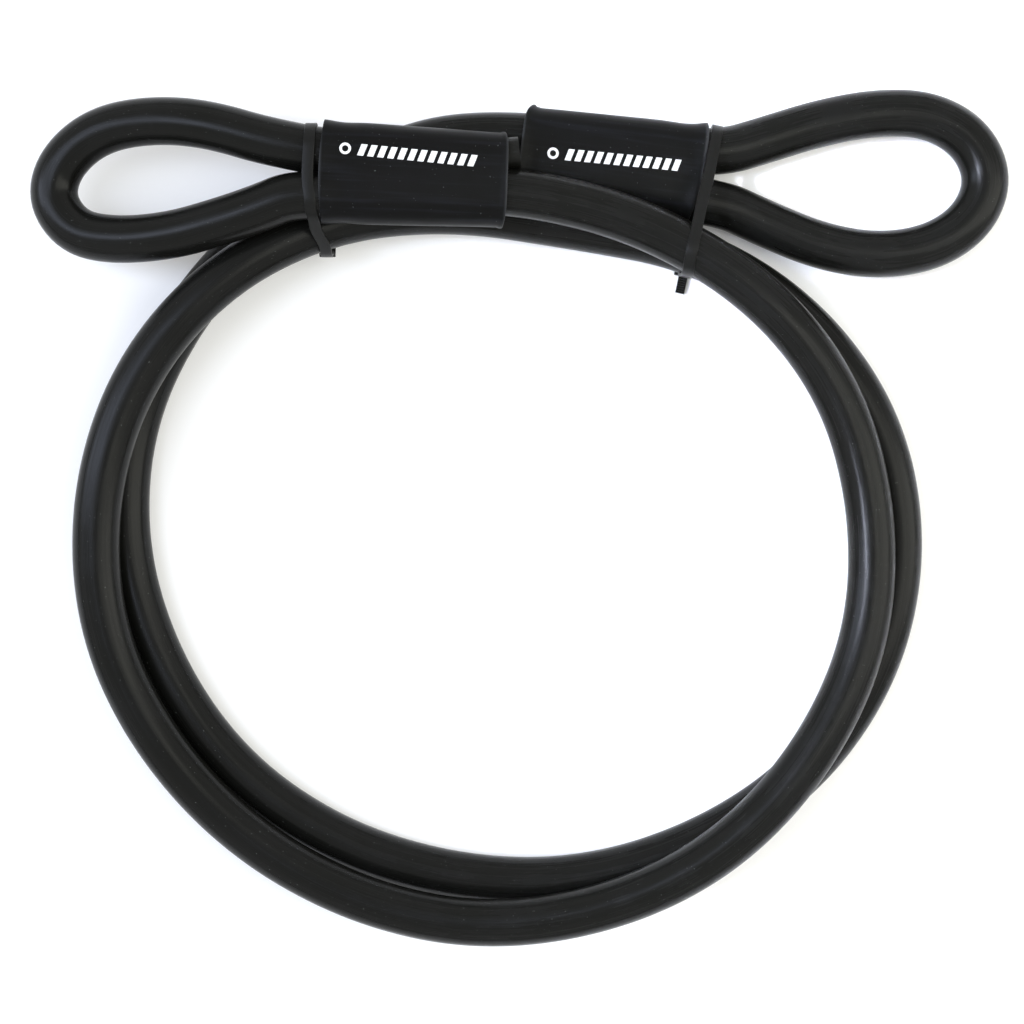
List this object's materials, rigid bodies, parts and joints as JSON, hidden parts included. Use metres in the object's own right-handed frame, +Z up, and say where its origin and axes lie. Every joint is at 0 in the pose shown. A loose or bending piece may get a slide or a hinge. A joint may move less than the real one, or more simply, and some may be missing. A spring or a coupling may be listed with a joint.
{
  "type": "looped security cable",
  "caption": "Vinyl-jacketed steel security cable with a sleeved eye at each end, coiled twice and held by two cable ties.",
  "frame": {"origin": "middle of the coiled cable's footprint, on the surface that it lies on", "axes": "+X from the left eye towards the right eye, +Y towards the sleeves, +Z up from the surface"},
  "size_m": [0.3118, 0.2731, 0.0411],
  "materials": {
    "steel_rope": "bright stranded galvanised steel",
    "vinyl_jacket": "near-black extruded vinyl, semi-gloss",
    "ferrule_metal": "pressed, matt",
    "vinyl_sleeve": "near-black soft vinyl, satin",
    "nylon_tie": "black nylon, satin"
  },
  "bodies": {
    "root": {"wire_rope": "steel_rope", "jacket_coil": "vinyl_jacket", "jacket_left_eye": "vinyl_jacket", "jacket_right_eye": "vinyl_jacket", "ferrule_left": "ferrule_metal", "ferrule_right": "ferrule_metal", "sleeve_left": "vinyl_sleeve", "sleeve_right": "vinyl_sleeve", "tie_left": "nylon_tie", "tie_right": "nylon_tie"}
  },
  "joints": []
}
